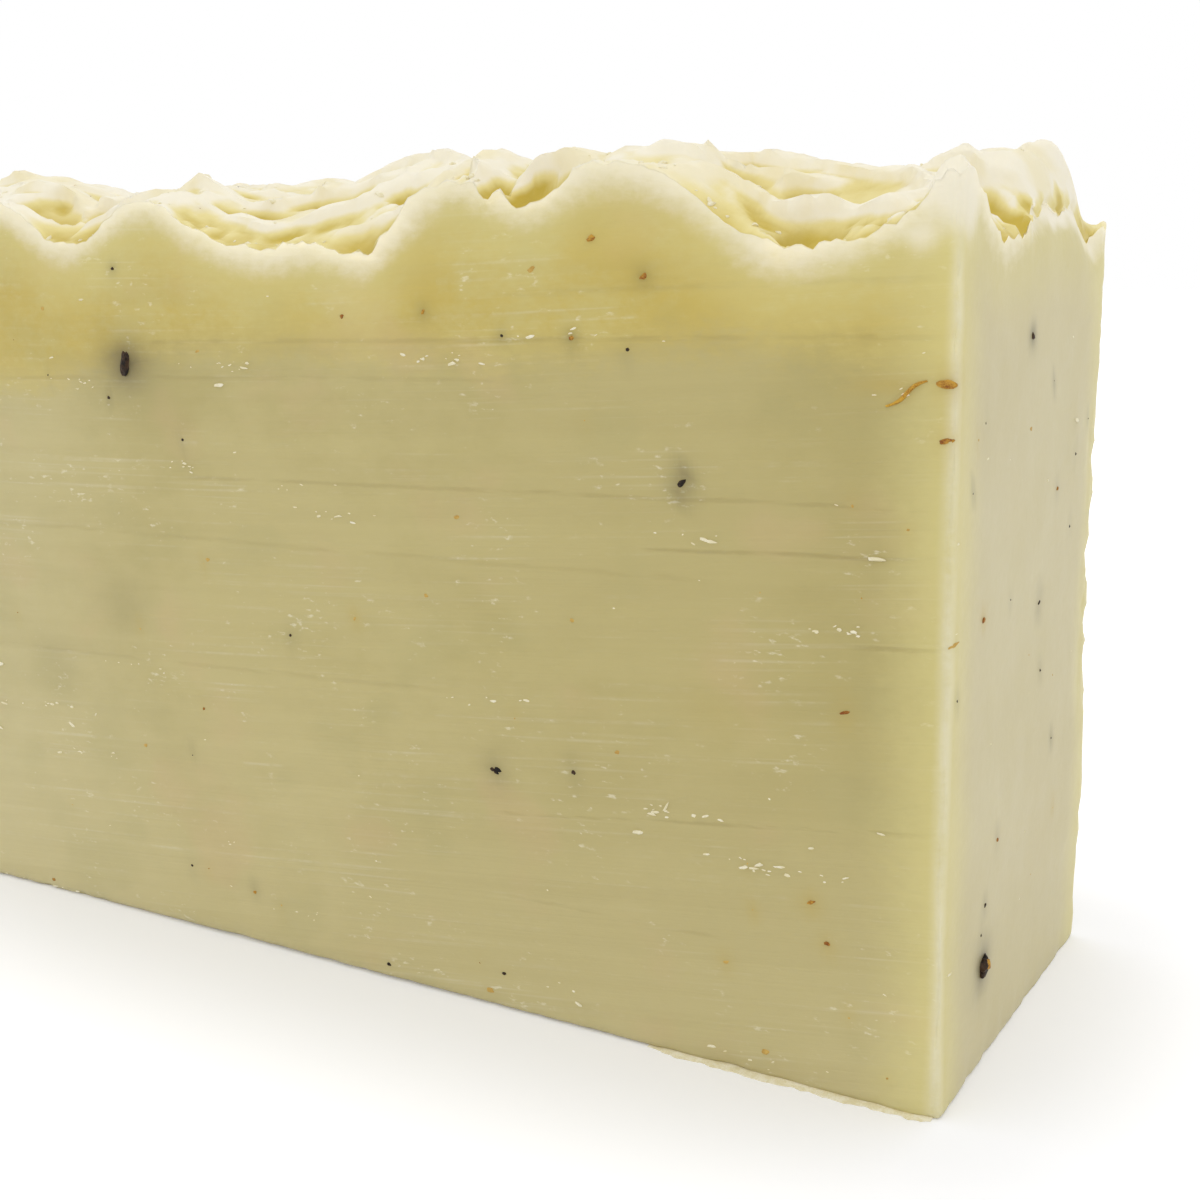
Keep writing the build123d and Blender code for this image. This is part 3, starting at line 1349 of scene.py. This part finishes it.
@dataclass
class SoapBar:
    """The bar of soap: a cut block, its moulded ends and its spooned top, in millimetres.

    Columns, layers and rows count the block's divisions; the edge steps are where the first
    lines in from each edge lie. Curl leans the crests forward, and the shoulder draws the end's
    rim in. The waves and ripples are how far the blade and the mould left the faces from flat.
    """

    length: float
    thickness: float
    height: float
    top: SpoonedTop
    bits: HerbBits
    columns: int = 260
    layers: int = 84
    rows: int = 64
    corner_radius: float = 0.55
    rim_rough: float = 0.17
    edge_steps: tuple[float, ...] = (0.08, 0.2, 0.36, 0.6)
    fine_rows: int = 24
    fine_row: float = 0.42
    curl: float = 0.55
    shoulder: float = 0.7
    cut_wave: float = 0.10
    cut_ripple: float = 0.014
    mould_wave: float = 0.16
    mould_ripple: float = 0.035
    corner_wear: float = 0.18
    corner_nicks: float = 0.14
    rear_chips: float = 0.75
    foot_dents: float = 0.25

    def build(self) -> bpy.types.Object:
        """Models the bar.

        Returns:
            The bar's object, in metres in the shared frame.
        """
        ob = self.divided_block()
        index = self.grid_index(ob)
        points, marks = self.shaped(index)
        write_points(ob, points * MM)
        flat = np.zeros(len(points) * 3)
        ob.data.vertices.foreach_get("normal", flat)
        normals = flat.reshape(-1, 3)
        for name, axis in (("cut", 1), ("moulded", 0)):
            marks[name] = ease(np.abs(normals[:, axis]), 0.45, 0.95) * (1 - marks["top"])
        points = points + self.worn(points, normals, marks)
        write_points(ob, points * MM)
        self.write_marks(ob, points, marks)
        self.lay_out(ob, index)
        smooth(ob, 50)
        return ob

    def divided_block(self) -> bpy.types.Object:
        """A block of the bar's size, divided evenly along its three directions.

        The columns are made in two rounds, because one round makes at most a hundred.

        Returns:
            The block's object.
        """
        deselect_all()
        bpy.ops.mesh.primitive_cube_add(size=1, location=(0, 0, self.height / 2 * MM))
        ob = bpy.context.object
        ob.name = ob.data.name = "soap_body"
        ob.scale = (self.length * MM, self.thickness * MM, self.height * MM)
        bpy.ops.object.transform_apply(location=True, rotation=True, scale=True)
        for axis, counts in ((0, (4, self.columns // 4)), (1, (self.layers,)), (2, (self.rows,))):
            for count in counts:
                divide(ob, axis, count)
        return ob

    def grid_index(self, ob: bpy.types.Object) -> np.ndarray:
        """Finds each vertex's place in the block's grid.

        Args:
            ob: The divided block.

        Returns:
            Rows of column, layer and row.
        """
        points = read_points(ob) / MM
        share = points / (self.length, self.thickness, self.height) + (0.5, 0.5, 0.0)
        return np.rint(share * (self.columns, self.layers, self.rows)).astype(int)

    def graded(self, size: float, count: int) -> np.ndarray:
        """Spaces lines across a side, closer together at its two ends.

        Args:
            size: The side's size.
            count: How many parts the lines make.

        Returns:
            The lines' places, from 0 to the size.
        """
        near = np.array((0.0,) + self.edge_steps)
        inner = np.linspace(near[-1], size - near[-1], count - 2 * len(near) + 3)
        return np.concatenate([near[:-1], inner, size - near[-2::-1]])

    def row_lines(self) -> np.ndarray:
        """Spaces the rows up the sides, closest just under the rim.

        Returns:
            The rows' heights as shares of the top's height.
        """
        near = np.array((0.0,) + self.edge_steps)
        fine = near[-1] + self.fine_row * np.arange(1, self.fine_rows + 1)
        low = np.linspace(self.height - fine[-1], near[-1], self.rows - self.fine_rows
                          - 2 * len(near) + 3)
        down = np.concatenate([near, fine, self.height - low[1:], self.height - near[-2::-1]])
        return (self.height - down[::-1]) / self.height

    def shaped(self, index: np.ndarray) -> tuple[np.ndarray, Marks]:
        """Moves the grid to the bar's shape.

        Args:
            index: Each vertex's column, layer and row.

        Returns:
            The vertices' places, and what is known of each: whether it is on the top or under
            crust, its hollow, and its distances from the rim and the sides.
        """
        line_x = self.graded(self.length, self.columns) - self.length / 2
        line_y = self.graded(self.thickness, self.layers) - self.thickness / 2
        grid_x, grid_y = np.meshgrid(line_x, line_y, indexing="ij")
        tall, hollow = self.top.heights(grid_x, grid_y)
        tall = tall + self.ragged_rim(grid_x, grid_y)
        column, layer, row = index.T
        x, y, z = line_x[column], line_y[layer], self.row_lines()[row] * tall[column, layer]
        right, fore, back = self.length / 2 - x, self.thickness / 2 + y, self.thickness / 2 - y
        below = np.maximum(SpoonedTop.blur(tall, 40)[column, layer] - z, 0)
        top = (row == self.rows).astype(float)
        side, face = np.minimum(right, self.length / 2 + x), np.minimum(fore, back)

        crest = (tall - SpoonedTop.blur(tall, 60))[column, layer]
        free = ease(face, 0.4, 2.0) * ease(side, 0.4, 2.0)
        lean = np.clip(crest, 0, 1.4) * top * free

        end_rim = ease(fore, 13.2, 14.6) * ease(fore, 30.4, 28.6) * ease(right, 0.5, 0.1)
        ragged = lumps(np.column_stack([x, y, z]), 1.6, 24)
        peak = ease(np.hypot(right, fore) + 0.8 * ragged, 4.2, 1.4)
        crusted = np.maximum(end_rim * ease(below + 0.5 * ragged, 2.2, 1.0),
                             0.85 * peak * ease(below + 0.8 * ragged, 4.6, 1.2))

        x = x - self.shoulder * end_rim * ease(below, 3.4, 0.0)
        marks = {
            "top": top, "hollow": hollow[column, layer], "below": below, "crusted": crusted,
            "side": side, "face": face, "from_right": right, "from_back": back,
        }
        return self.rounded(np.column_stack([x, y - self.curl * lean, z])), marks

    def ragged_rim(self, grid_x: np.ndarray, grid_y: np.ndarray) -> np.ndarray:
        """Crumbling along the top's borders, strongest by the front right corner.

        Args:
            grid_x: Millimetres along the bar for each grid point, columns first.
            grid_y: Millimetres through the bar for each grid point.

        Returns:
            Millimetres to add to the top.
        """
        right, fore = self.length / 2 - grid_x, self.thickness / 2 + grid_y
        border = np.exp(-np.minimum(fore, np.minimum(right, self.thickness / 2 - grid_y)) / 1.3)
        rough = level_lumps(grid_x, grid_y, 0.9, 21) + 0.8 * level_lumps(grid_x, grid_y, 0.5, 22)
        patches = ease(level_lumps(grid_x, grid_y, 6.0, 23), 0, 0.6)
        return self.rim_rough * rough * border * (0.6 + 0.6 * ease(right, 14, 9) + patches)

    def rounded(self, points: np.ndarray) -> np.ndarray:
        """Rounds the upright corners and the base's edges.

        Args:
            points: The vertices' places.

        Returns:
            Their new places.
        """
        half = np.array([self.length / 2, self.thickness / 2])
        wobble = lumps(points * (0.05, 0.05, 1), 3.0, 9)
        radius = self.corner_radius * (1 + 0.5 * wobble)
        over = (np.abs(points[:, :2]) - (half - radius[:, None])) / radius[:, None]
        low = 1 - points[:, 2] / radius
        u, v, w = np.clip(np.column_stack([over, low]), 0, 1).T
        bent = np.column_stack([
            u * np.sqrt(np.clip(1 - v**2 / 2 - w**2 / 2 + v**2 * w**2 / 3, 0, 1)),
            v * np.sqrt(np.clip(1 - u**2 / 2 - w**2 / 2 + u**2 * w**2 / 3, 0, 1)),
            w * np.sqrt(np.clip(1 - u**2 / 2 - v**2 / 2 + u**2 * v**2 / 3, 0, 1)),
        ])
        moved = points.copy()
        for axis in (0, 1):
            inside = over[:, axis] > 0
            place = half[axis] - radius + radius * bent[:, axis]
            moved[inside, axis] = (np.sign(points[:, axis]) * place)[inside]
        under = low > 0
        moved[under, 2] = (radius * (1 - bent[:, 2]))[under]
        return moved

    def worn(self, points: np.ndarray, normals: np.ndarray, marks: Marks
             ) -> np.ndarray:
        """How far cutting, moulding and handling moved each vertex.

        Args:
            points: The vertices' places.
            normals: Their outward directions.
            marks: What is known of each.

        Returns:
            The moves in millimetres.
        """
        drawn = points * np.array([0.3, 1.0, 1.0])
        cutting = self.cut_wave * lumps(drawn, 5.0, 31) + self.cut_ripple * lumps(
            drawn * (0.35, 1, 1), 0.8, 32)
        moulding = self.mould_wave * lumps(points, 12.0, 33) + self.mould_ripple * lumps(
            points, 2.4, 34)
        off = marks["cut"] * cutting + marks["moulded"] * moulding
        return normals * off[:, None] + self.chips(points, marks)

    def chips(self, points: np.ndarray, marks: Marks) -> np.ndarray:
        """The uneven run of the upright corners, and the chips out of the rear right one.

        Args:
            points: The vertices' places.
            marks: What is known of each.

        Returns:
            The moves in millimetres.
        """
        side, face, z = marks["side"], marks["face"], points[:, 2]
        nicks = np.clip(lumps(points, 0.8, 42), 0, 1)
        inward = -self.corner_wear * np.abs(lumps(points * (0.2, 0.2, 1), 2.6, 41)) - (
            self.corner_nicks * nicks)
        rear = np.exp(-np.hypot(marks["from_right"], marks["from_back"]) / 1.3)
        broken = ease(z, 16, 22) * ease(z, 46, 38) * np.clip(lumps(points, 1.5, 43) + 0.3, 0, 1)
        inward = inward * np.exp(-np.hypot(side, face) / 0.5) - self.rear_chips * rear * broken
        base = np.exp(-np.hypot(face, z) / 0.7) + np.exp(-np.hypot(side, z) / 0.7)
        dent = -self.foot_dents * np.clip(lumps(points, 1.7, 44), 0, 1) * base
        outward = np.column_stack([np.sign(points[:, 0]) * np.exp(-side / 1.2),
                                   np.sign(points[:, 1]) * np.exp(-face / 1.2), 0 * side])
        return outward * (inward + dent)[:, None]

    def write_marks(self, ob: bpy.types.Object, points: np.ndarray, marks: Marks) -> None:
        """Stores on the mesh what the soap's finish reads.

        Args:
            ob: The bar.
            points: Its vertices' places in millimetres.
            marks: What is known of each.
        """
        grey, rust = self.bits.stains(points)
        values = {
            "top": np.maximum(marks["top"], marks["crusted"]),
            "hollow": np.where(marks["top"] > 0, marks["hollow"], -0.6 * marks["crusted"]),
            "below_rim_mm": marks["below"],
            "corner_mm": np.maximum(marks["side"], marks["face"]),
            "cut": marks["cut"],
            "moulded": marks["moulded"],
            "grey_stain": grey,
            "rust_stain": rust,
        }
        for name, value in values.items():
            layer = ob.data.attributes.new(name, "FLOAT", "POINT")
            layer.data.foreach_set("value", value.astype(np.float32))

    def lay_out(self, ob: bpy.types.Object, index: np.ndarray) -> None:
        """Lays the six sides out flat, at one scale and with a gap between, for baking.

        Args:
            ob: The bar.
            index: Each vertex's column, layer and row.
        """
        loops = np.zeros(len(ob.data.loops), dtype=int)
        ob.data.loops.foreach_get("vertex_index", loops)
        corners = index[loops].reshape(-1, 4, 3)
        last = (self.columns, self.layers, self.rows)
        flat = (corners == corners[:, :1]).all(axis=1)
        places = corners / np.array(last) * (self.length, self.thickness, self.height)
        x, y, z = places.transpose(2, 0, 1)
        gap = 2.0
        wide, deep, tall = self.length + gap, self.thickness + gap, self.height + gap
        low_x, low_y, low_z = (corners[:, 0] == 0).T
        spots = [
            (flat[:, 1] & low_y, x, z),
            (flat[:, 1] & ~low_y, x + wide, z),
            (flat[:, 2] & ~low_z, x, y + tall),
            (flat[:, 2] & low_z, x + wide, y + tall),
            (flat[:, 0] & ~low_x, z, y + tall + deep),
            (flat[:, 0] & low_x, z + wide, y + tall + deep),
        ]
        across = np.select([s[0][:, None] for s in spots], [s[1] for s in spots]) + gap / 2
        up = np.select([s[0][:, None] for s in spots], [s[2] for s in spots]) + gap / 2
        while ob.data.uv_layers:
            ob.data.uv_layers.remove(ob.data.uv_layers[0])
        sheet = ob.data.uv_layers.new(name=BAKE_MAP)
        laid = np.column_stack([across.ravel(), up.ravel()]) / (2 * wide)
        sheet.uv.foreach_set("vector", laid.astype(np.float32).ravel())


# ----------------------------------------------------------------------------------------------
# Loose crumbs and the lip of soap at the base


@dataclass
class Crumbs:
    """Crumbs and shavings of soap left by the blade and the spoon, in millimetres.

    The levels are the heights at which the blade dragged rows of crumbs along.
    """

    length: float
    thickness: float
    height: float
    seed: int = 23
    clusters: int = 44
    loose: int = 90
    on_top: int = 150
    levels: tuple[float, ...] = (46.4, 43.9, 36.8, 34.1, 28.9, 22.0, 17.0, 14.6, 8.7, 1.5)

    def places(self, draw: random.Random) -> list[tuple[Side, float, float, float]]:
        """Picks where the crumbs lie: in rows along the blade marks, loose, and on the top.

        Args:
            draw: Where the random places come from.

        Returns:
            Each crumb's side, its place on it, and its size.
        """
        half = self.length / 2 - 0.5
        spots = []
        for _ in range(self.clusters):
            side = draw.choices([Side.FRONT, Side.BACK], [3, 2])[0]
            middle = draw.uniform(-half, half)
            level = draw.choice(self.levels) + draw.gauss(0, 1.2)
            for _ in range(draw.randint(3, 11)):
                along = middle + draw.gauss(0, 1.8)
                up = level + 0.02 * along + draw.gauss(0, 0.22)
                spots.append((side, along, max(up, 0.3), 0.09 + 0.22 * draw.random() ** 3))
        for _ in range(self.loose):
            side = draw.choices([Side.FRONT, Side.BACK, Side.RIGHT, Side.LEFT], [3, 3, 1, 1])[0]
            reach = half if side in (Side.FRONT, Side.BACK) else self.thickness / 2 - 0.5
            spots.append((side, draw.uniform(-reach, reach), draw.uniform(0.5, 51),
                          0.1 + 0.4 * draw.random() ** 4))
        for _ in range(self.on_top):
            deep = draw.choice([draw.uniform(0.3, 1.2), draw.uniform(0.5, 10),
                                draw.uniform(0.5, self.thickness - 0.5)])
            spots.append((Side.TOP, draw.uniform(-half, half), deep - self.thickness / 2,
                          0.18 + 0.5 * draw.random() ** 3))
        return spots

    def build(self, soap: bpy.types.Object) -> bpy.types.Object:
        """Models the crumbs and settles them on the finished soap.

        Args:
            soap: The soap body.

        Returns:
            One object with every crumb.
        """
        tree = BVHTree.FromObject(soap, bpy.context.evaluated_depsgraph_get())
        draw = random.Random(self.seed)
        parts = []
        for number, (side, along, up, size) in enumerate(self.places(draw)):
            bit = Bit(Grain.PETAL, side, along, up, size, size)
            found = seat(tree, bit.place(self.length, self.thickness, self.height), side)
            stretch = draw.uniform(1.0, 1.6) if side is Side.TOP else draw.uniform(1.2, 3.2)
            turn = draw.gauss(0, 50) if side is Side.TOP else draw.gauss(2, 14)
            if found:
                shape = (size * stretch, size * draw.uniform(0.6, 1.0), size * 0.7)
                parts.append(nugget(shape, 0.4, number % 41, 1, found, turn, 0.5))
        return join(parts, "soap_crumbs")


@dataclass
class BaseLip:
    """The thin lip of soap that seeped under the mould's edge, at the front of the base."""

    front: float
    start: float = 25.0
    stop: float = 44.6
    reach: float = 0.62
    thick: float = 0.2
    parts: int = 80

    def build(self) -> bpy.types.Object:
        """Models the lip: a thin strip with a ragged, feathered front edge.

        Returns:
            The lip's object.
        """
        deselect_all()
        bpy.ops.mesh.primitive_cube_add(size=1)
        ob = bpy.context.object
        ob.name = ob.data.name = "base_lip"
        divide(ob, 0, self.parts)
        divide(ob, 1, 6)
        share = read_points(ob) + 0.5
        along = self.start + (self.stop - self.start) * share[:, 0]
        spots = np.column_stack([along, 0 * along, 0 * along])
        ragged = 0.75 + 0.35 * lumps(spots, 1.6, 51) + 0.2 * lumps(spots, 0.6, 52)
        ends = ease(share[:, 0], 0, 0.12) * ease(share[:, 0], 1, 0.97)
        out = np.clip(self.reach * ragged * ends, 0.05, 1)
        y = self.front + 0.5 - (0.5 + out) * (1 - share[:, 1])
        thin = self.thick * (0.25 + 0.75 * share[:, 1] ** 0.7) * (0.5 + 0.5 * ends)
        write_points(ob, np.column_stack([along, y, 0.01 + thin * share[:, 2]]) * MM)
        smooth(ob, 60)
        return ob


# ----------------------------------------------------------------------------------------------
# The scene


@dataclass
class Studio:
    """A plain pale floor, soft light from overhead, and the camera.

    The camera's place is metres, and its turn, tip and roll are degrees. The lifts are how much
    the floor brightens to the camera by the bar's foot, and how much more away from it; the
    smaller lift by the foot paints a shadow round the bar.
    """

    floor_size: float = 6.0
    floor_light: Colour = (0.8865, 0.891, 0.918, 1.0)
    floor_dark: Colour = (0.873, 0.8775, 0.9, 1.0)
    near_lift: float = 0.14
    far_lift: float = 0.22
    sky: float = 0.94
    camera_at: tuple[float, float, float] = (0.07312, -0.10149, 0.05074)
    turn: float = 30.946
    tip: float = 11.663
    roll: float = -0.931
    lens: float = 47.78

    def build(self) -> None:
        """Adds the floor, the sky, the lamps and the camera."""
        self.add_floor()
        self.add_sky()
        self.add_lamp("overhead", (-0.05, 0.10, 0.75), (0.0, 0.0, 0.03), 0.9, 0.7)
        self.add_lamp("front_fill", (0.25, -0.85, 0.45), (0.0, 0.0, 0.02), 0.8, 0.3)
        self.add_camera()
        bpy.context.scene.view_settings.view_transform = "Standard"

    def add_floor(self) -> None:
        """The floor: white where it is lit, grey in the bar's soft shadow and in a painted shadow
        round the bar's foot.
        """
        deselect_all()
        bpy.ops.mesh.primitive_plane_add(size=self.floor_size)
        floor = bpy.context.object
        floor.name = "floor"
        material, book, shader = new_material("floor")
        cloud = book.calc("MULTIPLY", book.clouds(book.place(), 3.0, 2.0), 0.1)
        tone = book.mix(cloud, self.floor_light, self.floor_dark)
        book.feed(shader.inputs["Base Color"], tone)
        shader.inputs["Roughness"].default_value = 0.9
        shader.inputs["Specular IOR Level"].default_value = 0.0
        shader.inputs["Emission Color"].default_value = (1, 1, 1, 1)
        # Painted shadow: the floor brightens less to the camera by the bar's foot, so it stays
        # darker there whatever the light.
        away = self.away_from_bar(book)
        lift = book.calc("MULTIPLY_ADD", away, self.far_lift, self.near_lift)
        book.feed(shader.inputs["Emission Strength"], book.calc("MULTIPLY", self.seen(book), lift))
        floor.data.materials.append(material)

    def seen(self, book: NodeBook) -> Socket:
        """Masks the rays by which the camera sees the surroundings.

        Args:
            book: Where the nodes go.

        Returns:
            A mask's socket, 1 on a straight view, in a shine and through glass.
        """
        path = book.add("ShaderNodeLightPath").outputs
        shine = book.calc("MAXIMUM", path["Is Glossy Ray"], path["Is Transmission Ray"])
        return book.calc("MAXIMUM", path["Is Camera Ray"], shine)

    def away_from_bar(self, book: NodeBook) -> Socket:
        """Masks the floor away from the bar, which sets the painted shadow round its foot.

        Args:
            book: Where the nodes go.

        Returns:
            A mask's socket, 0 at the bar's foot and 1 from 24 mm away.
        """
        axes = book.axes()
        sides = []
        for axis, half in zip("XY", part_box(BAR_NODE)[1]):
            off = book.calc("SUBTRACT", book.calc("ABSOLUTE", axes[axis]), half)
            sides.append(book.calc("POWER", book.calc("MAXIMUM", off, 0.0), 2.0))
        return book.step(book.calc("SQRT", book.calc("ADD", *sides)), 0.002, 0.024)

    def add_sky(self) -> None:
        """An even sky: white to the camera, and soft to the soap."""
        world = bpy.data.worlds.new("sky")
        world.use_nodes = True
        book = NodeBook(world.node_tree)
        shader = world.node_tree.nodes["Background"]
        shader.inputs["Color"].default_value = (1, 1, 1, 1)
        lit = book.calc("MULTIPLY_ADD", self.seen(book), 1.0 - self.sky, self.sky)
        book.feed(shader.inputs["Strength"], lit)
        bpy.context.scene.world = world

    def add_lamp(self, name: str, place: tuple[float, float, float],
                 aim: tuple[float, float, float], size: float, power: float) -> None:
        """Adds a square soft lamp.

        Args:
            name: The lamp's name.
            place: Where it hangs, in metres.
            aim: What it points at.
            size: Its side in metres.
            power: Its power in watts.
        """
        lamp = bpy.data.lights.new(name, "AREA")
        lamp.shape, lamp.size, lamp.energy = "SQUARE", size, power
        ob = bpy.data.objects.new(name, lamp)
        ob.location = place
        ob.rotation_euler = (Vector(aim) - Vector(place)).to_track_quat("-Z", "Y").to_euler()
        bpy.context.scene.collection.objects.link(ob)

    def add_camera(self) -> None:
        """Adds the camera: a little above the bar's shoulder, looking past its right corner."""
        turn, tip, roll = (math.radians(a) for a in (self.turn, self.tip, self.roll))
        ahead = Vector((-math.sin(turn) * math.cos(tip), math.cos(turn) * math.cos(tip),
                        -math.sin(tip)))
        level = Vector((math.cos(turn), math.sin(turn), 0))
        up = level.cross(ahead)
        right = level * math.cos(roll) + up * math.sin(roll)
        above = up * math.cos(roll) - level * math.sin(roll)
        camera = bpy.data.cameras.new("camera")
        camera.lens, camera.sensor_width = self.lens, 36
        camera.clip_start, camera.clip_end = 0.005, 50
        ob = bpy.data.objects.new("camera", camera)
        ob.matrix_world = Matrix.Translation(self.camera_at) @ Matrix(
            (right, above, -ahead)).transposed().to_4x4()
        bpy.context.scene.collection.objects.link(ob)
        bpy.context.scene.camera = ob


def dress(ob: bpy.types.Object, material: bpy.types.Material) -> None:
    """Gives a piece its finish and fixes it to the bar.

    Args:
        ob: The piece.
        material: Its finish.
    """
    ob.data.materials.clear()
    ob.data.materials.append(material)
    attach(ob, BODY)
    LOG.info("%s: %d faces", ob.name, len(ob.data.polygons))


def main() -> None:
    """Builds the bar and everything round it, one piece after another."""
    logging.basicConfig(level=logging.INFO, format="%(name)s %(message)s")
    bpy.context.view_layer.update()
    low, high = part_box(BAR_NODE)
    length, thickness, height = ((high - low) / MM)[:]
    effects = SharedEffects(mottle_group(), grain_group(), blade_group())
    top = SpoonedTop(length, thickness)
    bits = HerbBits(length, thickness, height)
    soap = SoapBar(length, thickness, height, top, bits).build()
    dress(soap, SoapFinish().make(effects))
    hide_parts(BAR_NODE)

    crumb_finish = SpeckFinish("crumb", paint(244, 238, 214), paint(230, 220, 180), 0.55)
    crumbs = Crumbs(length, thickness, height).build(soap)
    dress(crumbs, crumb_finish.make(effects))
    lip = BaseLip(-thickness / 2).build()
    dress(lip, crumb_finish.make(effects))

    finishes = {
        Grain.SEED: SpeckFinish("dark_seed", paint(66, 46, 28), paint(18, 14, 10), 0.6),
        Grain.HUSK: SpeckFinish("husk", paint(200, 154, 60), paint(134, 74, 30), 0.6),
        Grain.PETAL: SpeckFinish("petal", paint(206, 172, 92), paint(188, 150, 76), 0.55),
    }
    for kind, ob in bits.build(soap).items():
        dress(ob, finishes[kind].make(effects))
    stem = Stem().build(soap, -thickness / 2)
    dress(stem, SpeckFinish("stem", paint(208, 164, 58), paint(150, 92, 30), 0.5).make(effects))
    Studio().build()


if __name__ == "__main__":
    main()
